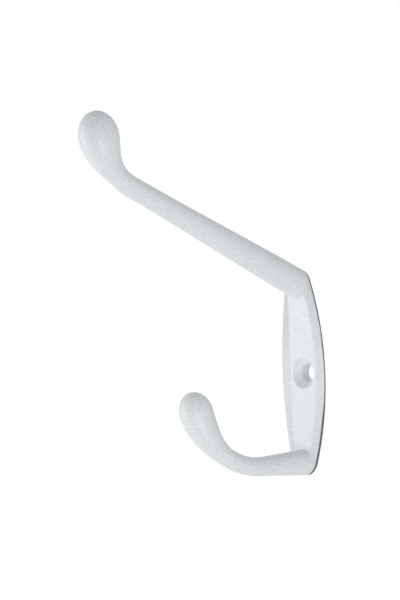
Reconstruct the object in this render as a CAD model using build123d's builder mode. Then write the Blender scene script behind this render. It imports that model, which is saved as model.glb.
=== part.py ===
"""Double coat hook: one cast piece with a long upper arm and a short lower hook, both ending in a knob.

Frame: the back of the plate lies in the plane y = 0, on the wall. The arms reach towards -Y, +Z is up and
X runs across the plate. The origin is on the axis of the screw hole, at the back of the plate.
"""

import os
from math import radians, sqrt, tan

from build123d import *

# Back plate: an almond outline with rounded ends, bevelled back to a smaller almond that lies on the wall
plate_half_width = 8.75  # at the height of the screw hole
plate_side_radius = 76.0  # the two long arcs of the outline
plate_top_radius = 4.1  # rounding of the upper end
plate_bottom_radius = 4.5  # rounding of the lower end
plate_thickness = 4.7  # at the screw hole
bevel_depth = 4.5  # from the wall to the widest outline
back_half_width = 4.0  # of the flat on the wall, at the height of the screw hole
back_side_radius = 72.0
back_end_radius = 1.2

# Front of the plate: a flat band, dished along its length, with a facet on each side
band_half_width = 5.1  # at the screw hole
band_narrowing_radius = 145.0  # the band's two edges close in towards the ends along arcs
band_dish_radius = 145.0  # the band rises towards the ends along an arc
facet_slope = 0.04  # fall per mm across the facet, at the screw hole
facet_end_slope = 0.50  # the same, at the last section
crown_reach = 32.0  # the last sections stand this far above and below the hole
crown_steps = 8  # sections from the hole to each end

# Countersunk screw hole
bore_radius = 2.6
countersink_radius = 4.4
countersink_slope = 45.0  # degrees between its wall and its axis

# Upper arm: a round shaft that rises off the top of the plate, then turns up into its knob
upper_root_height = 25.1  # of the centreline, at the front of the plate
upper_rise = 24.5  # degrees above level
upper_bend_start = 66.3  # from the wall
upper_bend_radius = 18.7
upper_knob_lean = 11.3  # degrees of the knob's axis away from upright
upper_root_radius = 4.2  # at the wall
upper_neck_radius = 2.9
upper_knob_radius = 5.5
upper_taper = 76.0  # length over which the root narrows to the neck
upper_swell = 13.5  # length over which the neck grows into the knob
upper_cap = 7.0  # from the knob's widest place to its tip

# Lower hook: a round shaft that leaves the bottom of the plate level, then curves up into its knob
lower_root_height = -25.4
lower_rise = 0.0
lower_bend_start = 22.6
lower_bend_radius = 24.9
lower_knob_lean = 20.0
lower_root_radius = 3.85
lower_neck_radius = 2.6
lower_knob_radius = 4.7
lower_taper = 27.0
lower_swell = 18.0
lower_cap = 6.0

arm_sections = 30  # round sections along each arm
cut_margin = 1.0  # cutting and trimming shapes run this far past the plate


def almond(half_width, side_radius, top_radius, bottom_radius):
    """Outline of two long arcs, widest at the height of the origin, that meet in a rounded end each way."""
    tip = sqrt(side_radius**2 - (side_radius - half_width) ** 2)
    with BuildSketch() as shape:
        with BuildLine():
            ThreePointArc((0, -tip), (half_width, 0), (0, tip))
            ThreePointArc((0, tip), (-half_width, 0), (0, -tip))
        make_face()
        fillet(shape.vertices().sort_by(Axis.Y)[-1], top_radius)
        fillet(shape.vertices().sort_by(Axis.Y)[0], bottom_radius)
    return shape.sketch


def band_section(height):
    """Corners (x, y) that bound the front of the plate at a height: a flat band between two facets."""
    closing = height**2 / 2
    band = band_half_width - closing / band_narrowing_radius
    front = -plate_thickness - closing / band_dish_radius
    slope = facet_slope + (facet_end_slope - facet_slope) * (height / crown_reach) ** 2
    outer = plate_half_width + cut_margin
    edge = front + slope * (outer - band)
    return [
        (-outer, cut_margin),
        (-outer, edge),
        (-band, front),
        (band, front),
        (outer, edge),
        (outer, cut_margin),
    ]


def ease(place):
    """Rises smoothly from 0 to 1 with a place from 0 to 1, as 3 p^2 - 2 p^3, and is level outside."""
    place = min(max(place, 0.0), 1.0)
    return 3 * place**2 - 2 * place**3


def arm_radius(distance, length, root, neck, knob, taper, swell):
    """Radius of an arm at a distance along its centreline: root, narrowing to neck, then swelling to knob."""
    return root + (neck - root) * ease(distance / taper) + (knob - neck) * ease(1 - (length - distance) / swell)


def centreline(root_height, rise, bend_start, bend_radius, knob_lean):
    """Centreline of an arm, in the plane x = 0: straight out from the wall, then up along an arc."""
    slope = tan(radians(rise))
    with BuildLine(Plane.YZ) as line:
        straight = Line(
            (0, root_height - plate_thickness * slope),
            (-bend_start, root_height + (bend_start - plate_thickness) * slope),
        )
        JernArc(straight @ 1, straight % 1, bend_radius, rise + knob_lean - 90)
    return line.wire()


def round_arm(path, radii, cap):
    """An arm along its centreline, ended by half an ellipse turned about the knob's axis, and trimmed off
    inside the plate, where the back bevel ends."""
    with BuildPart() as arm:
        for step in range(arm_sections):
            place = step / (arm_sections - 1)
            with BuildSketch(Plane(path @ place, x_dir=(1, 0, 0), z_dir=path % place)):
                Circle(arm_radius(place * path.length, path.length, *radii))
        loft()
        knob = arm_radius(path.length, path.length, *radii)
        with BuildSketch(Plane(path @ 1, x_dir=(1, 0, 0), z_dir=Vector(1, 0, 0).cross(path % 1))):
            Ellipse(knob, cap)
            Rectangle(knob, cap, align=(Align.MIN, Align.MIN), mode=Mode.INTERSECT)
        revolve(axis=Axis(path @ 1, path % 1))
        split(bisect_by=Plane.XZ.offset(bevel_depth), keep=Keep.TOP)
    return arm.part


os.makedirs("parts", exist_ok=True)

with BuildPart() as double_coat_hook:
    # Plate: bevelled out from the wall to its full outline, then straight forward
    with BuildSketch(Plane.XZ):
        add(almond(back_half_width, back_side_radius, back_end_radius, back_end_radius))
    with BuildSketch(Plane.XZ.offset(bevel_depth)):
        add(almond(plate_half_width, plate_side_radius, plate_top_radius, plate_bottom_radius))
    loft(ruled=True)
    end_rise = crown_reach**2 / 2 / band_dish_radius
    widest = double_coat_hook.faces().sort_by(Axis.Y)[0]
    extrude(widest, amount=plate_thickness - bevel_depth + end_rise + cut_margin)

    # Front: the dished band and its facets, through sections up the plate
    for step in range(-crown_steps, crown_steps + 1):
        height = crown_reach * step / crown_steps
        with BuildSketch(Plane.XY.offset(height)):
            with BuildLine():
                Polyline(*band_section(height), close=True)
            make_face()
    loft(mode=Mode.INTERSECT)

    # Arms
    upper_path = centreline(
        upper_root_height, upper_rise, upper_bend_start, upper_bend_radius, upper_knob_lean
    )
    upper_radii = (upper_root_radius, upper_neck_radius, upper_knob_radius, upper_taper, upper_swell)
    add(round_arm(upper_path, upper_radii, upper_cap))
    lower_path = centreline(
        lower_root_height, lower_rise, lower_bend_start, lower_bend_radius, lower_knob_lean
    )
    lower_radii = (lower_root_radius, lower_neck_radius, lower_knob_radius, lower_taper, lower_swell)
    add(round_arm(lower_path, lower_radii, lower_cap))

    # Screw hole: a bore that opens into a cone at the front
    widening = tan(radians(countersink_slope))
    cone_start = plate_thickness - (countersink_radius - bore_radius) / widening
    with BuildSketch(Plane.XY):
        with BuildLine():
            Polyline(
                (0, cut_margin),
                (bore_radius, cut_margin),
                (bore_radius, -cone_start),
                (countersink_radius + cut_margin * widening, -plate_thickness - cut_margin),
                (0, -plate_thickness - cut_margin),
                close=True,
            )
        make_face()
    revolve(axis=Axis.Y, mode=Mode.SUBTRACT)

double_coat_hook.part.label = "double_coat_hook"
export_step(double_coat_hook.part, "parts/double_coat_hook.step")
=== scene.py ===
"""Looks of the double coat hook: a satin white powder coat on the cast hook, and a plain studio around it."""

import logging
import math
from dataclasses import dataclass
from enum import Enum

import bpy
from mathutils import Matrix, Vector


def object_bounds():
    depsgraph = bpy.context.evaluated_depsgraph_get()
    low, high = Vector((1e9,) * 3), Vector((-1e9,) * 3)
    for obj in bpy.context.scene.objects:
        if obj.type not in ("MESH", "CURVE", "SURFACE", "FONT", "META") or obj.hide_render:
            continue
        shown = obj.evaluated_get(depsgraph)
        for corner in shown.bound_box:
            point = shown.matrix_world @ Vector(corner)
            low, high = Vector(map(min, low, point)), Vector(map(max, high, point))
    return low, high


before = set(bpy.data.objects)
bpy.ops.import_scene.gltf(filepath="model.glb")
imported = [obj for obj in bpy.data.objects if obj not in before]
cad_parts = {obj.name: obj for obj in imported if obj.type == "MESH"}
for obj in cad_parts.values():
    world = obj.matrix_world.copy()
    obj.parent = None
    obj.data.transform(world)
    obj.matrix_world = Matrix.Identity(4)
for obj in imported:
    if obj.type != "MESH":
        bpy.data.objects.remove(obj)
CAD_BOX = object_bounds()
LOG = logging.getLogger("double_coat_hook")
HOOK_NODE = "double_coat_hook"
MIX_LOW, MIX_HIGH, MIX_RESULT = 6, 7, 2  # the colour sockets of a Mix node, by number
Span = tuple[float, float]
Triple = tuple[float, float, float]
Colour = Triple | bpy.types.NodeSocket


class Quantity:
    """A shader number: a socket whose arithmetic adds Math nodes to its tree."""

    def __init__(self, shader: "Shader", socket: bpy.types.NodeSocket) -> None:
        """Wraps a socket.

        Args:
            shader: The shader that the socket belongs to.
            socket: The output that carries the number.
        """
        self.shader = shader
        self.socket = socket

    def _math(self, operation: str, *values: "Quantity | float") -> "Quantity":
        """Returns one Math node's result for the values, in order."""
        return self.shader.number("ShaderNodeMath", {"operation": operation}, dict(enumerate(values)))

    def __add__(self, other: "Quantity | float") -> "Quantity":
        """Returns self + other."""
        return self._math("ADD", self, other)

    def __radd__(self, other: float) -> "Quantity":
        """Returns other + self."""
        return self._math("ADD", other, self)

    def __sub__(self, other: "Quantity | float") -> "Quantity":
        """Returns self - other."""
        return self._math("SUBTRACT", self, other)

    def __rsub__(self, other: float) -> "Quantity":
        """Returns other - self."""
        return self._math("SUBTRACT", other, self)

    def __mul__(self, other: "Quantity | float") -> "Quantity":
        """Returns self * other."""
        return self._math("MULTIPLY", self, other)

    def __rmul__(self, other: float) -> "Quantity":
        """Returns other * self."""
        return self._math("MULTIPLY", other, self)

    def __abs__(self) -> "Quantity":
        """Returns self without its sign."""
        return self._math("ABSOLUTE", self)

    def __gt__(self, other: "Quantity | float") -> "Quantity":
        """Returns 1 where self is greater than other, and 0 elsewhere."""
        return self._math("GREATER_THAN", self, other)

    def at_least(self, other: "Quantity | float", softness: float = 0.0) -> "Quantity":
        """Returns the greater of self and other, with the change between them rounded over a softness."""
        return self._math("SMOOTH_MAX", self, other, softness)

    def step(self, start: float, end: float) -> "Quantity":
        """Returns 0 where self is at start, 1 where it is at end, and a smooth rise between them."""
        inputs = {"Value": self, "From Min": start, "From Max": end}
        return self.shader.number("ShaderNodeMapRange", {"interpolation_type": "SMOOTHSTEP"}, inputs)


@dataclass(frozen=True)
class Grain:
    """A noise: the size of its grains in metres, its finer octaves, and how each one is to the last."""

    size: float
    octaves: float
    falloff: float


class Shader:
    """The node tree of a material or a world, with one method that adds any node."""

    def __init__(self, owner: bpy.types.Material | bpy.types.World) -> None:
        """Empties the tree.

        Args:
            owner: The new material or world that the tree belongs to.
        """
        owner.use_nodes = True
        self.owner = owner
        self.tree = owner.node_tree
        self.tree.nodes.clear()

    def node(self, kind: str, settings: dict | None = None, inputs: dict | None = None) -> bpy.types.Node:
        """Adds a node.

        Args:
            kind: The node's type, such as "ShaderNodeMath".
            settings: The node's own properties, set first.
            inputs: A value or a link for each socket, by name or by number.

        Returns:
            The new node.
        """
        made = self.tree.nodes.new(kind)
        for key, value in (settings or {}).items():
            setattr(made, key, value)
        for key, value in (inputs or {}).items():
            source = value.socket if isinstance(value, Quantity) else value
            if isinstance(source, bpy.types.NodeSocket):
                self.tree.links.new(source, made.inputs[key])
            else:
                made.inputs[key].default_value = source
        return made

    def number(
        self, kind: str, settings: dict | None = None, inputs: dict | None = None, out: str | int = 0
    ) -> Quantity:
        """Adds a node and returns one of its outputs as a Quantity."""
        return Quantity(self, self.node(kind, settings, inputs).outputs[out])

    def noise(self, place: bpy.types.NodeSocket, grain: Grain) -> Quantity:
        """Returns a noise of about 0.5, with the grain given."""
        look = {"Scale": 1 / grain.size, "Detail": grain.octaves, "Roughness": grain.falloff}
        return self.number("ShaderNodeTexNoise", None, {"Vector": place, **look})

    def parts(self, vector: bpy.types.NodeSocket) -> tuple[Quantity, Quantity, Quantity]:
        """Returns the x, y and z of a vector."""
        split = self.node("ShaderNodeSeparateXYZ", None, {0: vector})
        return tuple(Quantity(self, output) for output in split.outputs)

    def blend(self, factor: Quantity, low: Colour, high: Colour) -> bpy.types.NodeSocket:
        """Mixes two colours.

        Args:
            factor: How far the result is from low to high, from 0 to 1.
            low: The colour at 0.
            high: The colour at 1.

        Returns:
            The socket that carries low + factor * (high - low).
        """
        colours = {MIX_LOW: low, MIX_HIGH: high}
        inputs = {key: (*value, 1) if isinstance(value, tuple) else value for key, value in colours.items()}
        return self.node("ShaderNodeMix", {"data_type": "RGBA"}, {0: factor, **inputs}).outputs[MIX_RESULT]


@dataclass(frozen=True)
class Relief:
    """Fine relief of the plate's front: it deepens the fall of the facets beside the flat band.

    Lengths are in metres, and a fall is a depth per length across the facet.
    """

    band_half_width: float = 0.0051
    narrowing_radius: float = 0.145
    fall: float = 0.24
    upper_fall: float = 0.48
    upper_reach: float = 0.028
    softness: float = 0.0007
    reach: float = 0.012
    forward: Span = (-0.70, -0.80)

    def height(self, shader: Shader, place: bpy.types.NodeSocket, facing: bpy.types.NodeSocket) -> Quantity:
        """Height of the relief, in metres.

        It is -fall * max(|x| - edge, 0), with edge = band_half_width - z^2 / (2 * narrowing_radius), and fall
        grows to upper_fall from the height of the hole to upper_reach above it. It counts only where the y of
        the surface's normal is past forward, no further than reach from the wall.

        Args:
            shader: The shader that gets the nodes.
            place: Object coordinates.
            facing: The surface's normal in object coordinates.

        Returns:
            The height.
        """
        x, y, z = shader.parts(place)
        turned = shader.parts(facing)[1]
        edge = self.band_half_width - z * z * (0.5 / self.narrowing_radius)
        outside = (abs(x) - edge).at_least(0.0, self.softness)
        fall = self.fall + (self.upper_fall - self.fall) * z.step(0.0, self.upper_reach)
        return -1 * fall * outside * (y > -self.reach) * turned.step(*self.forward)


@dataclass(frozen=True)
class PaintedEdgeShade:
    """Painted shade: thin dark lines along the plate's sharpest edge and on the middle of its right front
    rim.

    Lengths are in metres. A span of two numbers runs from no painted shade to full painted shade.
    """

    edge_front: Span = (-0.0052, -0.0048)
    edge_back: Span = (-0.0038, -0.0042)
    edge_sideways: Span = (-0.6, -0.4)
    lower_spread: float = 0.00035
    lower_reach: float = 0.010
    hole_radius: float = 0.0036
    rim_half_width: float = 0.00875
    rim_radius: float = 0.076
    rim_width: Span = (-0.0006, -0.00018)
    rim_forward: Span = (-0.6, -0.8)
    rim_reach: float = 0.0075
    rim_middle: float = -0.003
    rim_height: Span = (0.017, 0.0102)

    def amount(self, shader: Shader, place: bpy.types.NodeSocket, facing: bpy.types.NodeSocket) -> Quantity:
        """How far the dark painted shade covers the coat, from 0 to 1.

        The edge is shaded between the depths edge_front and edge_back, where the y of the surface's normal is
        past edge_sideways, outside the screw hole. From the hole down to lower_reach below it, the line grows
        forward by lower_spread. The rim is shaded where x less rim_half_width - z^2 / (2 * rim_radius) is
        past rim_width and the y of the normal past rim_forward, within rim_reach of the wall, around the
        height rim_middle.

        Args:
            shader: The shader that gets the nodes.
            place: Object coordinates.
            facing: The surface's normal in object coordinates.

        Returns:
            The greater of the two amounts.
        """
        x, y, z = shader.parts(place)
        turned = shader.parts(facing)[1]
        lowered = y + self.lower_spread * z.step(0.0, -self.lower_reach)
        # Painted shade: a dark line along the plate's back edge.
        edge = lowered.step(*self.edge_front) * y.step(*self.edge_back) * turned.step(*self.edge_sideways)
        edge = edge * (x * x + z * z > self.hole_radius**2)
        outline = self.rim_half_width - z * z * (0.5 / self.rim_radius)
        # Painted shade along the middle of the plate's right front rim.
        rim = (x - outline).step(*self.rim_width) * turned.step(*self.rim_forward)
        middle = (y > -self.rim_reach) * abs(z - self.rim_middle).step(*self.rim_height)
        return edge.at_least(rim * middle)


@dataclass(frozen=True)
class PaintedShadeMetal:
    """Painted shade: a dull dark metal laid on the coat along the plate's back edge and right rim."""

    # Dark colours of the painted shade.
    dark: Triple = (0.075, 0.082, 0.085)
    light: Triple = (0.0975, 0.1066, 0.1105)
    roughness: float = 0.55
    unevenness: float = 0.15

    def surface(
        self, shader: Shader, peel: Quantity, mottle: Quantity, bump: bpy.types.Node
    ) -> bpy.types.Node:
        """Adds the metal's surface.

        Args:
            shader: The shader that gets the nodes.
            peel: The noise of the coat's relief, which makes the roughness uneven.
            mottle: The noise that takes the colour from dark to light.
            bump: The bump that turns the surface's normal.

        Returns:
            The surface's node.
        """
        return shader.node("ShaderNodeBsdfPrincipled", None, {
            "Base Color": shader.blend(mottle, self.dark, self.light),
            "Roughness": self.roughness + self.unevenness * peel,
            "Normal": bump.outputs[0]})


@dataclass(frozen=True)
class PowderCoat:
    """Satin white powder coat: mottled, with an orange peel and tiny specks, and painted shade along the
    plate's edge.

    Lengths are in metres.
    """

    white: Triple = (0.797, 0.837, 0.852)
    shade: Triple = (0.665, 0.705, 0.72)
    speck: Triple = (0.48, 0.51, 0.52)
    roughness: float = 0.39
    unevenness: float = 0.08
    refraction: float = 1.5
    peel: Grain = Grain(size=0.0010, octaves=2.0, falloff=0.45)
    peel_height: float = 0.00004
    mottle: Grain = Grain(size=0.00045, octaves=3.0, falloff=0.6)
    mottle_span: Span = (0.36, 0.70)
    speck_spacing: float = 0.0035
    speck_span: Span = (0.080, 0.030)
    relief: Relief = Relief()
    # Painted shade along the plate's back edge and right rim, and its dark colours.
    edge_shade: PaintedEdgeShade = PaintedEdgeShade()
    shade_metal: PaintedShadeMetal = PaintedShadeMetal()

    def material(self) -> bpy.types.Material:
        """Builds the material.

        Height = peel_height * peel + relief. The painted shade mask takes the coat's surface to the dark
        metal of the painted shade.

        Returns:
            The finished material.
        """
        shader = Shader(bpy.data.materials.new("white_powder_coat"))
        coordinates = shader.node("ShaderNodeTexCoord")
        place, facing = coordinates.outputs["Object"], coordinates.outputs["Normal"]
        peel = shader.noise(place, self.peel)
        mottle = shader.noise(place, self.mottle)
        height = peel * self.peel_height + self.relief.height(shader, place, facing)
        bump = shader.node("ShaderNodeBump", None, {"Strength": 1.0, "Distance": 1.0, "Height": height})
        coated = shader.node("ShaderNodeBsdfPrincipled", None, {
            "Base Color": self._colour(shader, place, mottle),
            "Roughness": self.roughness + self.unevenness * peel,
            "IOR": self.refraction,
            "Normal": bump.outputs[0]})
        # Painted shade: dark metal mixed over the coat along the plate's back edge and right rim.
        shade_metal = self.shade_metal.surface(shader, peel, mottle, bump)
        painted_shade = self.edge_shade.amount(shader, place, facing)
        layers = {0: painted_shade, 1: coated.outputs[0], 2: shade_metal.outputs[0]}
        skin = shader.node("ShaderNodeMixShader", None, layers)
        shader.node("ShaderNodeOutputMaterial", None, {0: skin.outputs[0]})
        return shader.owner

    def _colour(self, shader: Shader, place: bpy.types.NodeSocket, mottle: Quantity) -> bpy.types.NodeSocket:
        """Colour of the coat.

        It goes from white to shade with the mottle, and to speck near the centres of scattered cells.

        Args:
            shader: The shader that gets the nodes.
            place: Object coordinates.
            mottle: The noise of the mottle.

        Returns:
            The socket that carries the colour.
        """
        inputs = {"Vector": place, "Scale": 1 / self.speck_spacing}
        centre = shader.number("ShaderNodeTexVoronoi", None, inputs, "Distance")
        coat = shader.blend(mottle.step(*self.mottle_span), self.white, self.shade)
        return shader.blend(centre.step(*self.speck_span), coat, self.speck)


class Side(Enum):
    """Which side of the hook a lamp stands on, as a turn about the upright from straight ahead."""

    LEFT = -1
    RIGHT = 1


@dataclass
class Lamp:
    """A flat soft lamp that points at the hook.

    Angles are in degrees, lengths in metres and the power in watts.
    """

    name: str
    side: Side
    turn: float
    rise: float
    distance: float
    width: float
    height: float
    power: float

    def build(self, target: Vector) -> bpy.types.Object:
        """Places the lamp.

        Its place is target + distance * (sin t cos r, -cos t cos r, sin r), with t the turn and r the rise.

        Args:
            target: The point that it faces, in metres.

        Returns:
            The lamp's object.
        """
        turn = math.radians(self.turn) * self.side.value
        rise = math.radians(self.rise)
        away = Vector((math.sin(turn) * math.cos(rise), -math.cos(turn) * math.cos(rise), math.sin(rise)))
        data = bpy.data.lights.new(self.name, "AREA")
        data.shape = "RECTANGLE"
        data.size = self.width
        data.size_y = self.height
        data.energy = self.power
        lamp = bpy.data.objects.new(self.name, data)
        lamp.location = target + away * self.distance
        lamp.rotation_euler = away.to_track_quat("Z", "Y").to_euler()
        bpy.context.scene.collection.objects.link(lamp)
        return lamp


@dataclass
class Viewpoint:
    """The camera: level with the middle of the hook, to its right, with a slight roll.

    Angles are in degrees, lengths in metres, and the lens and sensor in millimetres.
    """

    turn: float = 48.4
    roll: float = 2.2
    distance: float = 0.6746
    lens: float = 147.0
    sensor: float = 36.0
    far: float = 50.0
    aim: Triple = (0.0, -0.0431, 0.0220)

    def build(self) -> bpy.types.Object:
        """Makes the camera and sets it as the scene's.

        Its place is aim + distance * (sin t, -cos t, 0), with t the turn. The roll turns it about its line of
        sight.

        Returns:
            The camera's object.
        """
        turn = math.radians(self.turn)
        roll = math.radians(self.roll)
        right = Vector((math.cos(turn), math.sin(turn), 0))
        up = Vector((0, 0, 1))
        back = Vector((math.sin(turn), -math.cos(turn), 0))
        data = bpy.data.cameras.new("camera")
        data.sensor_fit = "VERTICAL"
        data.sensor_height = self.sensor
        data.lens = self.lens
        data.clip_end = self.far
        camera = bpy.data.objects.new("camera", data)
        x_axis = right * math.cos(roll) - up * math.sin(roll)
        y_axis = right * math.sin(roll) + up * math.cos(roll)
        turned = Matrix((x_axis, y_axis, back)).transposed().to_4x4()
        camera.matrix_world = Matrix.Translation(Vector(self.aim) + back * self.distance) @ turned
        bpy.context.scene.collection.objects.link(camera)
        bpy.context.scene.camera = camera
        return camera


@dataclass
class Studio:
    """A plain pale floor under the hook, a white surround, soft lamps and the camera.

    Lengths are in metres, and fade_start is a share of half the floor's size.
    """

    floor_drop: float = 0.40
    floor_size: float = 3.0
    floor_tone: float = 0.90
    floor_glow: float = 0.5
    fade_start: float = 0.45
    surround: float = 0.535
    lamps: tuple[Lamp, ...] = (
        Lamp("strip_lamp", Side.LEFT, turn=50, rise=0, distance=0.70, width=0.10, height=0.60, power=1.62),
        Lamp("fill_lamp", Side.LEFT, turn=60, rise=-35, distance=0.60, width=0.28, height=0.28, power=0.22),
        Lamp("low_lamp", Side.RIGHT, turn=60, rise=-30, distance=0.60, width=0.28, height=0.28, power=1.25),
    )

    def build(self) -> None:
        """Builds the floor, the world, the lamps and the camera."""
        low, high = (Vector(corner) for corner in CAD_BOX)
        middle = (low + high) / 2
        self._floor(low.z - self.floor_drop)
        self._world()
        for lamp in self.lamps:
            lamp.build(middle)
        Viewpoint().build()

    def _floor(self, level: float) -> None:
        """Makes the floor, pale under the hook, and fading to the white of the surround further out.

        It is the square with corners (+-reach, +-reach, level), with reach half of floor_size.

        Args:
            level: Its height, in metres.
        """
        reach = self.floor_size / 2
        turns = ((-1, -1), (1, -1), (1, 1), (-1, 1))
        corners = [(reach * across, reach * along, level) for across, along in turns]
        mesh = bpy.data.meshes.new("floor")
        mesh.from_pydata(corners, [], [(0, 1, 2, 3)])
        floor = bpy.data.objects.new("floor", mesh)
        bpy.context.scene.collection.objects.link(floor)
        shader = Shader(bpy.data.materials.new("pale_floor"))
        place = shader.node("ShaderNodeTexCoord").outputs["Object"]
        distance = shader.number("ShaderNodeVectorMath", {"operation": "LENGTH"}, {0: place}, "Value")
        fade = distance.step(self.fade_start * reach, reach).at_least(self.floor_glow) * self._seen(shader)
        matt = shader.node("ShaderNodeBsdfDiffuse", None, {"Color": (self.floor_tone,) * 3 + (1,)})
        white = shader.node("ShaderNodeEmission", None, {"Color": (1, 1, 1, 1), "Strength": 1.0})
        mixed = shader.node("ShaderNodeMixShader", None, {0: fade, 1: matt.outputs[0], 2: white.outputs[0]})
        shader.node("ShaderNodeOutputMaterial", None, {0: mixed.outputs[0]})
        mesh.materials.append(shader.owner)

    def _world(self) -> None:
        """Lights the surround evenly, and shows it white to the camera and to reflections."""
        world = bpy.data.worlds.new("surround")
        shader = Shader(world)
        strength = self.surround + (1.0 - self.surround) * self._seen(shader)
        light = shader.node("ShaderNodeBackground", None, {"Color": (1, 1, 1, 1), "Strength": strength})
        shader.node("ShaderNodeOutputWorld", None, {0: light.outputs[0]})
        bpy.context.scene.world = world

    @staticmethod
    def _seen(shader: Shader) -> Quantity:
        """Tells what is seen from what only lights.

        Args:
            shader: The shader that gets the nodes.

        Returns:
            1 for what the camera sees, straight on or through gloss or glass, and 0 for other light.
        """
        path = shader.node("ShaderNodeLightPath")
        rays = ("Is Camera Ray", "Is Glossy Ray", "Is Transmission Ray")
        camera, glossy, through = (Quantity(shader, path.outputs[ray]) for ray in rays)
        return camera.at_least(glossy).at_least(through)


@dataclass
class CoatHook:
    """The cast hook: its CAD node, dressed in its coat."""

    coat: PowderCoat = PowderCoat()

    def dress(self) -> bpy.types.Object:
        """Gives the node its coat.

        Returns:
            The dressed object.
        """
        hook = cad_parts[HOOK_NODE]
        material = self.coat.material()
        for slot in hook.material_slots:
            slot.material = material
        LOG.info("%s dressed, %d faces", hook.name, len(hook.data.polygons))
        return hook


def main() -> None:
    """Dresses the hook and builds the studio."""
    logging.basicConfig(level=logging.INFO, format="%(name)s: %(message)s")
    bpy.context.scene.view_settings.view_transform = "Standard"
    CoatHook().dress()
    Studio().build()


if __name__ == "__main__":
    main()
